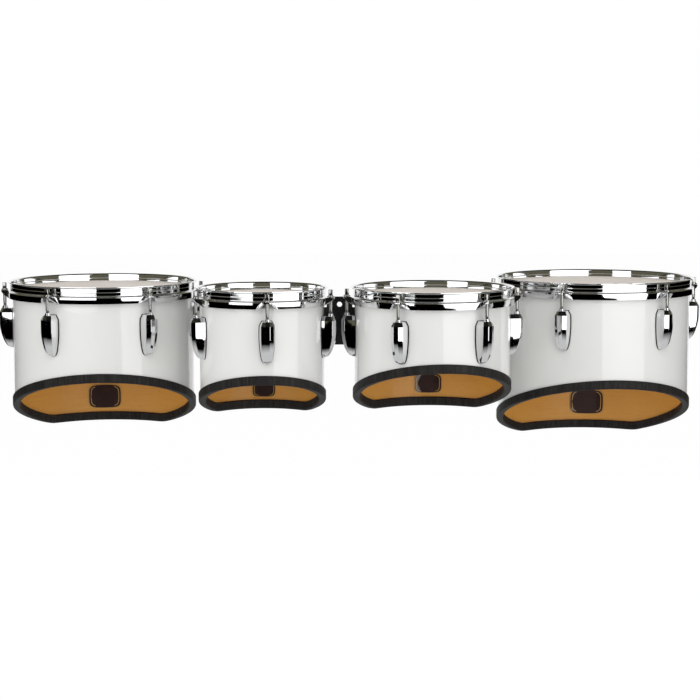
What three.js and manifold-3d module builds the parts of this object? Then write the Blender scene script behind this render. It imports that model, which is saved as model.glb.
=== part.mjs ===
import * as THREE from 'three';
import { mergeVertices } from 'three/addons/utils/BufferGeometryUtils.js';
import Module from 'manifold-3d';

const wasm = await Module();
wasm.setup();

// Marching tenor drums: four single-headed drums side by side on a carrier frame. Lengths are in
// millimetres, angles in degrees. +X is the audience's right, -Y the audience's side, +Z up, and the
// origin is the middle of the frame's flat rear face, where the player's carrier bears on it.
// Azimuths run round a drum from the audience's side, positive towards +X. A shell's bottom is cut
// level at the back, backDepth below the rim. From kneeBack behind the drum's axis it slants up
// towards cutAzimuth, where the shell is shortest.
const drum12 = {
  size: '12', shellRadius: 150.9, lugCount: 6, firstLugAzimuth: -25, shellFacets: 36,
  backDepth: 261, kneeBack: 112, cutAzimuth: 5.5,
};
const drum8 = {
  size: '8', shellRadius: 100.1, lugCount: 5, firstLugAzimuth: 7, shellFacets: 30,
  backDepth: 212.2, kneeBack: 62.5, cutAzimuth: 4.4,
};
const drum10 = {
  size: '10', shellRadius: 125.5, lugCount: 6, firstLugAzimuth: -25, shellFacets: 32,
  backDepth: 212.1, kneeBack: 87, cutAzimuth: 5.2,
};
const drum13 = {
  size: '13', shellRadius: 163.6, lugCount: 6, firstLugAzimuth: -25, shellFacets: 38,
  backDepth: 291.5, kneeBack: 124, cutAzimuth: 4,
};
const drums = [drum12, drum8, drum10, drum13];

// Clearances between pieces that touch or pass, and how far a cutter runs past what it cuts
const seatGap = 0.3;
const overrun = 5;

// Shell wall, its bearing edge, the slant of its bottom cut and the room its knee is rounded in, and
// the channel glued round that bottom edge
const shellWall = 6;
const edgeChamfer = 3;
const slantAngle = 22;
const kneeRound = 5;
const trimHeight = 15;
const trimThickness = 3;

// Head: film, its collar over the bearing edge, and the flesh hoop that holds it
const headDrop = 12.3;
const filmThickness = 0.4;
const fleshHoopWidth = 4.5;
const fleshHoopHeight = 8;

// Counterhoop, flanged three times from one steel strip, with an ear at each tension rod
const hoopSheet = 2;
const hoopHeight = 27;
const hoopShoulderDrop = 15.5;
const lipOverhang = 3.6;
const lipThickness = 2.2;
const lipSlope = 1.2;
const lipRound = 0.8;
const earReach = 19;
const earRootWidth = 34;
const earTopWidth = 17;
const earTipWidth = 15;
const earTipDepth = 3.5;
const earCutShare = 1.25;

// Tension rod, with its washer and square key head
const rodOffset = 13;
const rodRadius = 2.8;
const rodHoleClearance = 0.4;
const washerRadius = 5.8;
const washerThickness = 1.6;
const keyWidth = 6.4;
const keyHeight = 10.6;
const rodFacets = 8;

// Lug: faceted teardrop casting with a swivel nut standing out of its top. Outwards from the shell
// come its base's wall, a steep flank, a bevel and the narrow front face.
const lugTopDrop = 45.5;
const lugHeight = 67;
const lugStandoff = 21.9;
const lugHalfWidth = 11.9;
const lugBaseThickness = 5;
const lugFlankHalfWidth = 10.2;
const lugFlankStandoff = 17.4;
const lugFaceHalfWidth = 3.6;
const ferruleRadius = 4.2;
const ferruleHeight = 4;
const rodEngagement = 24;
const rodEndRoom = 6;

// A lug's cross-sections, top to bottom: shares of its height, of its half widths at the base, the
// flank and the face, of its standoffs, and of its base's thickness
const lugSectionShares = [
  { down: 0, width: 0.65, flank: 0.72, face: 0.92, out: 0.82, base: 1 },
  { down: 0.11, width: 0.95, flank: 1, face: 1, out: 1, base: 1 },
  { down: 0.4, width: 1, flank: 1, face: 1, out: 1, base: 1 },
  { down: 0.54, width: 0.96, flank: 0.96, face: 0.96, out: 0.94, base: 1 },
  { down: 0.67, width: 0.9, flank: 0.9, face: 0.9, out: 0.85, base: 1 },
  { down: 0.8, width: 0.8, flank: 0.8, face: 0.8, out: 0.72, base: 1 },
  { down: 0.91, width: 0.66, flank: 0.66, face: 0.66, out: 0.53, base: 0.9 },
  { down: 0.97, width: 0.5, flank: 0.5, face: 0.5, out: 0.35, base: 0.8 },
  { down: 1, width: 0.27, flank: 0.25, face: 0.25, out: 0.12, base: 0.3 },
];

// Room left between the lug circles of neighbouring drums, and the sweep of the row towards the player
const lugRoom12to8 = 11.1;
const lugRoom8to10 = 5.4;
const lugRoom10to13 = 28;
const innerSweepAngle = 1.7;
const sweepAngle12 = 26.4;
const sweepAngle13 = 36.5;

// Carrier frame: a bent flat bar on the player's side, with saddles and feet on the shells and two
// square sockets for the carrier's bars
const barThickness = 8;
const barHeight = 40;
const barDrop = 75;
const barRoom = 4.5;
const saddleWidth = 46;
const saddleThickness = 6;
const saddleAzimuth12 = 117;
const saddleAzimuth13 = -106;
const footWidth = 36;
const footAzimuth8 = 183;
const footAzimuth10 = 188;
const socketSpacing = 208;
const socketBore = 14;
const socketWall = 7;
const socketHeight = 48;

// Centre bracket: a black plate between the two inner drums, with wings that bolt to their shells
const bracketSetback = 43;
const bracketThickness = 6;
const bracketWing = 7;
const bracketWingLength = 20;
const bracketTopDrop = 38;
const bracketHeight = 61.4;
const tabThickness = 4;
const tabTopDrop = 20.5;
const tabTopWidth = 26;
const tabRootWidth = 42;
const tabHoleRadius = 4.25;
const tabHoleDrop = 12.7;
const tabHoleFacets = 16;

const gloss = (color, roughness, metalness) =>
  new THREE.MeshStandardMaterial({ color, roughness, metalness });
const finishes = {
  shell: gloss(0xf2f3f1, 0.18, 0),
  head: gloss(0xe9e3d8, 0.55, 0),
  chrome: gloss(0xd7d9db, 0.08, 1),
  frame: gloss(0x141416, 0.5, 0.2),
};

const toRadians = THREE.MathUtils.degToRad;
const directionAt = (azimuth) =>
  new THREE.Vector2(Math.sin(toRadians(azimuth)), -Math.cos(toRadians(azimuth)));
const pointAt = (drum, azimuth, radius) => directionAt(azimuth).multiplyScalar(radius).add(drum.axis);
const half = (length) => length / 2;

// Radius of the corners of a regular hole whose flats keep the given radius clear
const holeCorner = (radius, facets) => radius / Math.cos(Math.PI / facets);

// Welded solid. A lathe that touches its axis leaves triangles of no area there, which are dropped.
function toSolid(geometry) {
  const bare = geometry.clone();
  bare.deleteAttribute('normal');
  bare.deleteAttribute('uv');
  const merged = mergeVertices(bare);
  const corners = merged.index.array;
  const kept = [];
  for (let i = 0; i < corners.length; i += 3) {
    const [a, b, c] = [corners[i], corners[i + 1], corners[i + 2]];
    if (a !== b && b !== c && c !== a) kept.push(a, b, c);
  }
  const vertProperties = new Float32Array(merged.attributes.position.array);
  return new wasm.Manifold(new wasm.Mesh({ numProp: 3, vertProperties, triVerts: new Uint32Array(kept) }));
}

function toGeometry(solid) {
  const { vertProperties, triVerts } = solid.getMesh();
  const geometry = new THREE.BufferGeometry();
  geometry.setAttribute('position', new THREE.BufferAttribute(vertProperties, 3));
  geometry.setIndex(new THREE.BufferAttribute(triVerts, 1));
  geometry.computeVertexNormals();
  return geometry;
}

// Closed or axis-to-axis profile of [radius, height] turned about +Z, its first facet line at azimuth 0
function turned(profile, facets) {
  const points = profile.map(([radius, height]) => new THREE.Vector2(radius, height));
  return new THREE.LatheGeometry(points, facets).rotateX(Math.PI / 2);
}

function uprightCylinder(radius, top, bottom, facets) {
  const cylinder = new THREE.CylinderGeometry(radius, radius, top - bottom, facets);
  return cylinder.rotateX(Math.PI / 2).translate(0, 0, half(top + bottom));
}

function box(low, high) {
  const size = high.clone().sub(low);
  const middle = low.clone().add(high).multiplyScalar(1 / 2);
  return new THREE.BoxGeometry(size.x, size.y, size.z).translate(middle.x, middle.y, middle.z);
}

// Solid skinned over sections that are rings of equally many corners, with flat fans at both ends
function skinned(rings) {
  const corners = rings[0].length;
  const positions = rings.flat().flatMap((corner) => corner.toArray());
  const index = [];
  for (let ring = 0; ring < rings.length - 1; ring += 1) {
    for (let corner = 0; corner < corners; corner += 1) {
      const next = (corner + 1) % corners;
      const [a, b] = [ring * corners + corner, ring * corners + next];
      index.push(a, b, b + corners, a, b + corners, a + corners);
    }
  }
  const last = (rings.length - 1) * corners;
  for (let corner = 1; corner < corners - 1; corner += 1) {
    index.push(0, corner + 1, corner, last, last + corner, last + corner + 1);
  }
  const geometry = new THREE.BufferGeometry();
  geometry.setAttribute('position', new THREE.Float32BufferAttribute(positions, 3));
  geometry.setIndex(index);
  return geometry;
}

// Height of a drum's bottom edge at an azimuth, with the rim plane at zero
function bottomEdge(drum, azimuth) {
  const ahead = drum.shellRadius * Math.cos(toRadians(azimuth - drum.cutAzimuth)) + drum.kneeBack;
  const slantRun = half(ahead + Math.hypot(ahead, kneeRound));
  return slantRun * Math.tan(toRadians(slantAngle)) - drum.backDepth;
}

// Shell with its bearing edge, and the channel that closes its bottom edge. The last profile
// corners hang from the bottom edge, so their heights follow it round the shell.
function shellGeometry(drum) {
  const outer = drum.shellRadius;
  const inner = outer - shellWall;
  const crest = -headDrop - filmThickness - seatGap;
  const walls = [
    [outer, crest - edgeChamfer],
    [outer - edgeChamfer, crest],
    [inner, crest - (shellWall - edgeChamfer)],
  ];
  const hanging = [
    [inner, trimHeight],
    [inner - trimThickness, trimHeight],
    [inner - trimThickness, 0],
    [outer + trimThickness, 0],
    [outer + trimThickness, trimHeight],
    [outer, trimHeight],
  ];
  const profile = [...walls, ...hanging, walls[0]];
  const geometry = turned(profile, drum.shellFacets);
  const position = geometry.attributes.position;
  for (let i = 0; i < position.count; i += 1) {
    const corner = i % profile.length;
    const azimuth = (360 * Math.floor(i / profile.length)) / drum.shellFacets;
    const hangs = corner >= walls.length && corner < profile.length - 1;
    if (hangs) position.setZ(i, position.getZ(i) + bottomEdge(drum, azimuth));
  }
  return geometry;
}

// Drumhead: thin film across the bearing edge, turned down into the flesh hoop
function headGeometry(drum) {
  const film = -headDrop;
  const collarInner = drum.shellRadius + seatGap;
  const collarOuter = collarInner + filmThickness;
  const fleshTop = -hoopShoulderDrop - hoopSheet - seatGap;
  const crestRadius = drum.shellRadius - edgeChamfer;
  const profile = [
    [0, film - filmThickness],
    [crestRadius, film - filmThickness],
    [collarInner, film - filmThickness - edgeChamfer - seatGap],
    [collarInner, fleshTop - fleshHoopHeight],
    [collarInner + fleshHoopWidth, fleshTop - fleshHoopHeight],
    [collarInner + fleshHoopWidth, fleshTop],
    [collarOuter, fleshTop],
    [collarOuter, film - edgeChamfer - seatGap],
    [crestRadius, film],
    [0, film],
  ];
  return turned(profile, drum.shellFacets);
}

// An ear is a tent that the skirt rises into: wide and deep at the skirt, narrow and shallow at the
// tip. It is drawn for a rod at azimuth 0, its ridge flat at the height top, its sides run on to the
// given share of their length.
function earTent(root, tip, top, sideShare) {
  const skirtDepth = hoopHeight - hoopShoulderDrop;
  const section = (out, ridgeWidth, flare, depth) => [
    new THREE.Vector3(half(ridgeWidth), -out, top),
    new THREE.Vector3(-half(ridgeWidth), -out, top),
    new THREE.Vector3(-half(ridgeWidth + flare * sideShare), -out, top - depth * sideShare),
    new THREE.Vector3(half(ridgeWidth + flare * sideShare), -out, top - depth * sideShare),
  ];
  const tipFlare = half(earTipDepth);
  return skinned([
    section(root, earTopWidth, earRootWidth - earTopWidth, skirtDepth),
    section(tip, earTipWidth - tipFlare, tipFlare, earTipDepth),
  ]);
}

const skirtRadius = (drum) => drum.shellRadius + seatGap + fleshHoopWidth + seatGap;

// Counterhoop: rolled lip, wall, shoulder over the flesh hoop and skirt round it, in one closed profile
function hoopProfile(drum) {
  const wallInner = drum.shellRadius + seatGap + filmThickness + seatGap;
  const wallOuter = wallInner + hoopSheet;
  const skirtInner = skirtRadius(drum);
  const lipOuter = wallOuter + lipOverhang;
  return [
    [skirtInner + hoopSheet, -hoopHeight],
    [skirtInner + hoopSheet, -hoopShoulderDrop],
    [wallOuter, -hoopShoulderDrop],
    [wallOuter, -lipThickness - lipSlope],
    [lipOuter, -lipThickness],
    [lipOuter - lipRound, 0],
    [wallInner, 0],
    [wallInner, -hoopShoulderDrop - hoopSheet],
    [skirtInner, -hoopShoulderDrop - hoopSheet],
    [skirtInner, -hoopHeight],
    [skirtInner + hoopSheet, -hoopHeight],
  ];
}

function hoopGeometry(drum) {
  let hoop = toSolid(turned(hoopProfile(drum), drum.shellFacets));
  const earTop = -hoopShoulderDrop;
  const earTip = drum.shellRadius + earReach;
  const tent = toSolid(earTent(skirtRadius(drum), earTip, earTop, 1));
  const arch = toSolid(earTent(drum.shellRadius, earTip + overrun, earTop - hoopSheet, earCutShare));
  const holeRadius = holeCorner(rodRadius + rodHoleClearance, rodFacets);
  const hole = toSolid(uprightCylinder(holeRadius, earTop + overrun, -hoopHeight - overrun, rodFacets)
    .translate(0, -drum.shellRadius - rodOffset, 0));
  for (const azimuth of drum.lugAzimuths) {
    const turn = [0, 0, azimuth];
    hoop = hoop.add(tent.rotate(turn)).subtract(arch.rotate(turn)).subtract(hole.rotate(turn));
  }
  return toGeometry(hoop);
}

// Lug for azimuth 0, its back on the plane y = 0 and its top at z = 0. The rod's bore runs down
// through the ferrule.
function lugGeometry() {
  const rings = lugSectionShares.map(({ down, width, flank, face, out, base }) => {
    const right = [
      [lugHalfWidth * width, 0],
      [lugHalfWidth * width, -lugBaseThickness * base],
      [lugFlankHalfWidth * flank, -lugFlankStandoff * out],
      [lugFaceHalfWidth * face, -lugStandoff * out],
    ];
    const left = right.map(([x, y]) => [-x, y]).reverse();
    return [...right, ...left].map(([x, y]) => new THREE.Vector3(x, y, -lugHeight * down));
  });
  const ferrule = uprightCylinder(ferruleRadius, ferruleHeight, -overrun, rodFacets);
  const boreRadius = holeCorner(rodRadius + rodHoleClearance, rodFacets);
  const boreEnd = ferruleHeight - rodEngagement - rodEndRoom;
  const bore = uprightCylinder(boreRadius, ferruleHeight + overrun, boreEnd, rodFacets);
  const axisOut = rodOffset - seatGap;
  const body = toSolid(skinned(rings)).add(toSolid(ferrule.translate(0, -axisOut, 0)));
  return toGeometry(body.subtract(toSolid(bore.translate(0, -axisOut, 0))));
}

// Tension rod standing on its own axis, in heights below the rim plane
function rodGeometry() {
  const washerBottom = seatGap - hoopShoulderDrop;
  const washerTop = washerBottom + washerThickness;
  const rodEnd = ferruleHeight - lugTopDrop - rodEngagement;
  const profile = [
    [0, rodEnd],
    [rodRadius, rodEnd],
    [rodRadius, washerBottom],
    [washerRadius, washerBottom],
    [washerRadius, washerTop],
    [0, washerTop],
  ];
  const key = box(
    new THREE.Vector3(-half(keyWidth), -half(keyWidth), half(washerTop + washerBottom)),
    new THREE.Vector3(half(keyWidth), half(keyWidth), washerTop + keyHeight),
  );
  return toGeometry(toSolid(turned(profile, rodFacets)).add(toSolid(key)));
}

// Shells as plain cylinders with a seat's gap round them, to cut what bears on them
function shellClearance(drum) {
  const radius = drum.shellRadius + seatGap;
  return toSolid(uprightCylinder(radius, drum.backDepth, -drum.backDepth, drum.shellFacets)
    .translate(drum.axis.x, drum.axis.y, 0));
}

// Flat bar along a bent line in plan, mitred at each bend, centred on height zero
function bentBar(line, thickness, height) {
  const offsets = line.map((point, i) => {
    const before = line[Math.max(i - 1, 0)];
    const after = line[Math.min(i + 1, line.length - 1)];
    const into = (i > 0 ? point.clone().sub(before) : after.clone().sub(point)).normalize();
    const out = (i < line.length - 1 ? after.clone().sub(point) : into.clone()).normalize();
    const normal = new THREE.Vector2(-into.y - out.y, into.x + out.x).normalize();
    const straight = new THREE.Vector2(-into.y, into.x);
    return normal.multiplyScalar(half(thickness) / normal.dot(straight));
  });
  const left = line.map((point, i) => point.clone().add(offsets[i]));
  const right = line.map((point, i) => point.clone().sub(offsets[i]));
  const outline = new THREE.Shape([...right, ...left.reverse()]);
  return new THREE.ExtrudeGeometry(outline, { depth: height, bevelEnabled: false })
    .translate(0, 0, -half(height));
}

// Saddle that bears on a shell at an azimuth, and the radius where the bar meets it
function saddle(drum, azimuth) {
  const low = new THREE.Vector3(-half(saddleWidth), -drum.shellRadius - saddleThickness, -half(barHeight));
  const high = new THREE.Vector3(half(saddleWidth), saddleThickness - drum.shellRadius, half(barHeight));
  return toSolid(box(low, high).rotateZ(toRadians(azimuth)).translate(drum.axis.x, drum.axis.y, 0));
}

// Foot from the bar's front face to the back of a shell
function foot(drum, azimuth) {
  const seat = pointAt(drum, azimuth, drum.shellRadius - saddleThickness);
  const low = new THREE.Vector3(seat.x - half(footWidth), seat.y, -half(barHeight));
  const high = new THREE.Vector3(seat.x + half(footWidth), -half(barThickness), half(barHeight));
  return toSolid(box(low, high));
}

// Socket that takes one bar of the carrier from below, on the rear face of the frame
function socket(x) {
  const outerHalf = half(socketBore) + socketWall;
  const low = new THREE.Vector3(x - outerHalf, -half(barThickness), -half(socketHeight));
  const high = new THREE.Vector3(x + outerHalf, socketBore + socketWall + socketWall, half(socketHeight));
  return toSolid(box(low, high));
}

function socketHole(x) {
  const low = new THREE.Vector3(x - half(socketBore), socketWall, -half(socketHeight) - overrun);
  const high = new THREE.Vector3(x + half(socketBore), socketWall + socketBore, half(socketHeight) + overrun);
  return toSolid(box(low, high));
}

function carrierFrameGeometry() {
  const barOut = lugStandoff + barRoom;
  const barMiddle = -half(barThickness);
  const barHalfStraight = half(footWidth) + Math.max(
    -pointAt(drum8, footAzimuth8, drum8.shellRadius).x,
    pointAt(drum10, footAzimuth10, drum10.shellRadius).x,
    half(socketSpacing),
  );
  const line = [
    pointAt(drum12, saddleAzimuth12, drum12.shellRadius + half(saddleThickness)),
    pointAt(drum12, saddleAzimuth12, drum12.shellRadius + barOut),
    new THREE.Vector2(-barHalfStraight, barMiddle),
    new THREE.Vector2(barHalfStraight, barMiddle),
    pointAt(drum13, saddleAzimuth13, drum13.shellRadius + barOut),
    pointAt(drum13, saddleAzimuth13, drum13.shellRadius + half(saddleThickness)),
  ];
  let frame = toSolid(bentBar(line, barThickness, barHeight))
    .add(saddle(drum12, saddleAzimuth12))
    .add(saddle(drum13, saddleAzimuth13))
    .add(foot(drum8, footAzimuth8))
    .add(foot(drum10, footAzimuth10));
  for (const x of [-half(socketSpacing), half(socketSpacing)]) {
    frame = frame.add(socket(x)).subtract(socketHole(x));
  }
  for (const drum of drums) frame = frame.subtract(shellClearance(drum));
  return toGeometry(frame);
}

// Where a shell's surface faces its neighbour, at a distance back from the shell's axis
const flankX = (drum, y, side) =>
  drum.axis.x + side * Math.sqrt(drum.shellRadius ** 2 - (y - drum.axis.y) ** 2);

function centreBracketGeometry() {
  const front = rowMiddle + bracketSetback;
  const back = front + bracketThickness + bracketWingLength;
  const pocket = front + bracketThickness;
  const corner = (drum, y, side, inset) => new THREE.Vector2(flankX(drum, y, side) + side * inset, y);
  const plan = new THREE.Shape([
    corner(drum8, front, 1, -bracketWing),
    corner(drum10, front, -1, -bracketWing),
    corner(drum10, back, -1, -bracketWing),
    corner(drum10, back, -1, bracketWing),
    corner(drum10, pocket, -1, bracketWing),
    corner(drum8, pocket, 1, bracketWing),
    corner(drum8, back, 1, bracketWing),
    corner(drum8, back, 1, -bracketWing),
  ]);
  const body = new THREE.ExtrudeGeometry(plan, { depth: bracketHeight, bevelEnabled: false })
    .translate(0, 0, -bracketTopDrop - bracketHeight);
  const bracket = toSolid(body).add(bracketTab(front)).subtract(bracketHole(front));
  return toGeometry(bracket.subtract(shellClearance(drum8)).subtract(shellClearance(drum10)));
}

// Upright tab of the bracket, chamfered to pass between the two counterhoops
function bracketTab(front) {
  const root = -bracketTopDrop - half(bracketHeight);
  const shoulder = tabTopDrop - bracketTopDrop;
  const outline = new THREE.Shape([
    new THREE.Vector2(-half(tabRootWidth), root),
    new THREE.Vector2(half(tabRootWidth), root),
    new THREE.Vector2(half(tabRootWidth), half(shoulder) - tabTopDrop),
    new THREE.Vector2(half(tabTopWidth), -tabTopDrop),
    new THREE.Vector2(-half(tabTopWidth), -tabTopDrop),
    new THREE.Vector2(-half(tabRootWidth), half(shoulder) - tabTopDrop),
  ]);
  const middle = front + half(bracketThickness);
  const plate = new THREE.ExtrudeGeometry(outline, { depth: tabThickness, bevelEnabled: false });
  return toSolid(plate.rotateX(Math.PI / 2).translate(0, middle + half(tabThickness), 0));
}

function bracketHole(front) {
  const length = bracketThickness + overrun;
  const hole = new THREE.CylinderGeometry(tabHoleRadius, tabHoleRadius, length, tabHoleFacets);
  return toSolid(hole.translate(0, front + half(bracketThickness), -tabTopDrop - tabHoleDrop));
}

// A drum's axis beside its neighbour's: the lug circles keep the room, the sweep turns it back
function axisBeside(neighbour, drum, room, side, sweep) {
  const reach = neighbour.shellRadius + drum.shellRadius + 2 * lugStandoff + room;
  const turn = toRadians(sweep);
  const step = new THREE.Vector2(side * reach * Math.cos(turn), reach * Math.sin(turn));
  return neighbour.axis.clone().add(step);
}

// The two inner drums stand either side of x = 0, and the deeper one keeps its lugs clear of the bar
const innerReach = (drum) => drum.shellRadius + lugStandoff + half(lugRoom8to10);
const innerStep = new THREE.Vector2(Math.cos(toRadians(innerSweepAngle)), Math.sin(toRadians(innerSweepAngle)));
const deepestBack = Math.max(
  drum10.shellRadius + innerReach(drum10) * innerStep.y,
  drum8.shellRadius - innerReach(drum8) * innerStep.y,
);
const rowMiddle = -barThickness - barRoom - lugStandoff - deepestBack;
drum8.axis = innerStep.clone().multiplyScalar(-innerReach(drum8)).add(new THREE.Vector2(0, rowMiddle));
drum10.axis = innerStep.clone().multiplyScalar(innerReach(drum10)).add(new THREE.Vector2(0, rowMiddle));
drum12.axis = axisBeside(drum8, drum12, lugRoom12to8, -1, sweepAngle12);
drum13.axis = axisBeside(drum10, drum13, lugRoom10to13, 1, sweepAngle13);
for (const drum of drums) {
  const step = 360 / drum.lugCount;
  drum.lugAzimuths = Array.from({ length: drum.lugCount }, (_, i) => drum.firstLugAzimuth + i * step);
}

function named(name, geometry, material) {
  const mesh = new THREE.Mesh(geometry, material);
  mesh.name = name;
  return mesh;
}

// One drum in its own group, with the rim plane at height zero
function drumGroup(drum) {
  const group = new THREE.Group();
  group.add(named(`shell_${drum.size}_inch`, shellGeometry(drum), finishes.shell));
  group.add(named(`drumhead_${drum.size}_inch`, headGeometry(drum), finishes.head));
  group.add(named(`counterhoop_${drum.size}_inch`, hoopGeometry(drum), finishes.chrome));
  drum.lugAzimuths.forEach((azimuth, i) => {
    const outward = directionAt(azimuth);
    const lug = named(`lug_${drum.size}_inch_${i + 1}`, lugGeometry(), finishes.chrome);
    const back = outward.clone().multiplyScalar(drum.shellRadius + seatGap);
    lug.position.set(back.x, back.y, -lugTopDrop);
    lug.rotation.z = toRadians(azimuth);
    const rod = named(`tension_rod_${drum.size}_inch_${i + 1}`, rodGeometry(), finishes.chrome);
    const axis = outward.clone().multiplyScalar(drum.shellRadius + rodOffset);
    rod.position.set(axis.x, axis.y, 0);
    rod.rotation.z = toRadians(azimuth);
    group.add(lug, rod);
  });
  group.position.set(drum.axis.x, drum.axis.y, 0);
  return group;
}

const group = new THREE.Group();
for (const drum of drums) group.add(drumGroup(drum));
const centreBracket = named('centre_bracket', centreBracketGeometry(), finishes.frame);
group.add(centreBracket);

// Drums and bracket hang from the rim plane, which stands above the frame's middle
for (const child of group.children) child.position.z = barDrop;
group.add(named('carrier_frame', carrierFrameGeometry(), finishes.frame));

export default group;
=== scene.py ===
# %% [markdown]
# # Marching tenor drums
# Four single-headed drums hang side by side on a black frame, and their player walks behind them.
# The measured model comes in first and stays where it is. Every later step takes one real piece,
# gives it the curves and edges that the measured solids leave out, and sets it in the same place.

# %% Load the measured model
from math import copysign, cos, degrees, pi, radians, sin, sqrt
import bmesh
import bpy
from mathutils import Matrix, Vector


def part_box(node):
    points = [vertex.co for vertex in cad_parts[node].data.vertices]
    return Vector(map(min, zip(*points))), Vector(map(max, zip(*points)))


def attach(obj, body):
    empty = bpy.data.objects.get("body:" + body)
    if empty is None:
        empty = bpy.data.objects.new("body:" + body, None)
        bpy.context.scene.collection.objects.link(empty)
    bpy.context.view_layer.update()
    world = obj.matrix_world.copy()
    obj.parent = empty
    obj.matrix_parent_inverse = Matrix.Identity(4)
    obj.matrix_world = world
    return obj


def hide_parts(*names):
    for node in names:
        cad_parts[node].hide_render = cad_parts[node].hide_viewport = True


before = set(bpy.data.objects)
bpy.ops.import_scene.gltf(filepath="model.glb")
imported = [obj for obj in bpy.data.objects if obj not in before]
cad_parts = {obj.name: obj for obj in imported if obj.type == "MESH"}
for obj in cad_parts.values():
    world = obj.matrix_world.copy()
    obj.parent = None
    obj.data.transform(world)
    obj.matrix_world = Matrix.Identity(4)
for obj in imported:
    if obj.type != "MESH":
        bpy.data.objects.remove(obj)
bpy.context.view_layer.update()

# %% [markdown]
# The four drums differ only in a few sizes, so one table holds them. Lengths are in millimetres and
# angles in degrees round the drum from the audience's side. Each shell's bottom is cut level at the
# back, as deep below the rim as back says. From knee behind the drum's axis it slants up towards the
# angle cut, at 22 degrees. The rods stand at equal angles from the one called first.

# %% The drums' sizes
mm = 0.001
SLANT = radians(22)
KNEE_ROUND = 5
DRUMS = {
    "12_inch": dict(radius=150.9, rods=6, first=-25, back=261, knee=112, cut=5.5),
    "8_inch": dict(radius=100.1, rods=5, first=7, back=212.2, knee=62.5, cut=4.4),
    "10_inch": dict(radius=125.5, rods=6, first=-25, back=212.1, knee=87, cut=5.2),
    "13_inch": dict(radius=163.6, rods=6, first=-25, back=291.5, knee=124, cut=4),
}
for size, drum in DRUMS.items():
    low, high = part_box(f"drumhead_{size}")
    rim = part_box(f"counterhoop_{size}")[1].z
    drum["place"] = Vector(((low.x + high.x) / 2, (low.y + high.y) / 2, rim))
    drum["azimuths"] = [drum["first"] + 360 * i / drum["rods"] for i in range(drum["rods"])]
    print(size, "rim centre at", [round(value, 4) for value in drum["place"]])

# %% [markdown]
# The camera stands about three metres in front of the 8 inch drum, a little above the rims, and
# looks slightly down. Its place was solved from the drums' edges in the photograph, so it is given
# from that drum's axis.

# %% Camera
CAMERA_FROM_DRUM = (141.8, -2825.9, 233.4)
LOOKING_DOWN = 6.783


def new_object(name, data):
    made = bpy.data.objects.new(name, data)
    bpy.context.scene.collection.objects.link(made)
    return made


camera = new_object("camera", bpy.data.cameras.new("camera"))
camera.location = DRUMS["8_inch"]["place"] + Vector(CAMERA_FROM_DRUM) * mm
camera.rotation_euler = (radians(90 - LOOKING_DOWN), 0, 0)
camera.data.sensor_width = 36
camera.data.lens = 90.65
bpy.context.scene.camera = camera
print("camera at", [round(value, 3) for value in camera.location])

# %% [markdown]
# A material or a shape recipe is a tree of nodes. One function adds a node and sets it up, so a tree
# reads as a list of what it does. A value may be a setting, a number, a ramp's colour stops, or
# another node, whose first output is then joined to the input. Colours are written as on the web
# and turned into the linear light that Blender works in.

# %% Colours and nodes
MATHS, RANGE, MIX = "ShaderNodeMath", "ShaderNodeMapRange", "ShaderNodeMix"
RAMP, BUMP = "ShaderNodeValToRGB", "ShaderNodeBump"


def linear(code):
    channels = [int(code[i:i + 2], 16) / 255 for i in (1, 3, 5)]
    return [c / 12.92 if c <= 0.04045 else ((c + 0.055) / 1.055) ** 2.4 for c in channels] + [1]


def set_up(node, values):
    for key, value in values.items():
        source = value.outputs[0] if isinstance(value, bpy.types.Node) else value
        if isinstance(source, bpy.types.NodeSocket):
            node.id_data.links.new(source, node.inputs[key])
        elif key == "stops":
            while len(node.color_ramp.elements) < len(value):
                node.color_ramp.elements.new(0.5)
            for element, (position, code) in zip(node.color_ramp.elements, value):
                element.position, element.color = position, linear(code)
        elif isinstance(key, str) and hasattr(node, key):
            setattr(node, key, value)
        else:
            node.inputs[key].default_value = value
    return node


def add_node(tree, kind, values={}):
    return set_up(tree.nodes.new(kind), values)


WHITE = linear("#FFFFFF")
print("colour check, mid grey becomes", round(linear("#808080")[0], 3))

# %% [markdown]
# A finish's patterns are noise that is fixed to the piece, with features of a real size in
# millimetres. A plain finish has one colour, under a haze that lets its roughness wander from low
# to high.

# %% Materials and their patterns
def new_material(name):
    material = bpy.data.materials.new(name)
    material.use_nodes = True
    return material, material.node_tree, material.node_tree.nodes["Principled BSDF"]


def pattern(tree, size, stretch=(1, 1, 1), detail=3, roughness=0.5):
    scale = 1 / (size * mm)
    place = add_node(tree, "ShaderNodeTexCoord").outputs["Object"]
    mapped = add_node(tree, "ShaderNodeMapping", {"Scale": [scale * s for s in stretch], "Vector": place})
    return add_node(tree, "ShaderNodeTexNoise", {
        "Scale": 1, "Detail": detail, "Roughness": roughness, "Vector": mapped})


def plain_finish(name, colour, metallic, low, high, **haze):
    material, tree, shader = new_material(name)
    dull = add_node(tree, RANGE, {"Value": pattern(tree, **haze), "To Min": low, "To Max": high})
    set_up(shader, {"Base Color": linear(colour), "Metallic": metallic, "Roughness": dull})
    return material


print("a wave of 25 mm repeats", round(1 / (25 * mm)), "times a metre")

# %% [markdown]
# ## The shells' finishes
# Outside, the maple ply is sprayed with several coats of white polyester lacquer and polished. The
# white lies deep under a clear, mirror-like skin, and only long, shallow waves are left in it.
# A coat over a rougher base gives both: soft white light from below and sharp reflections on top.

# %% White polyester lacquer
white_lacquer, tree, shader = new_material("white_polyester_lacquer")
tone = add_node(tree, RAMP, {"Fac": pattern(tree, 140), "stops": [(0.3, "#EFEFED"), (0.7, "#F3F3F1")]})
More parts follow.
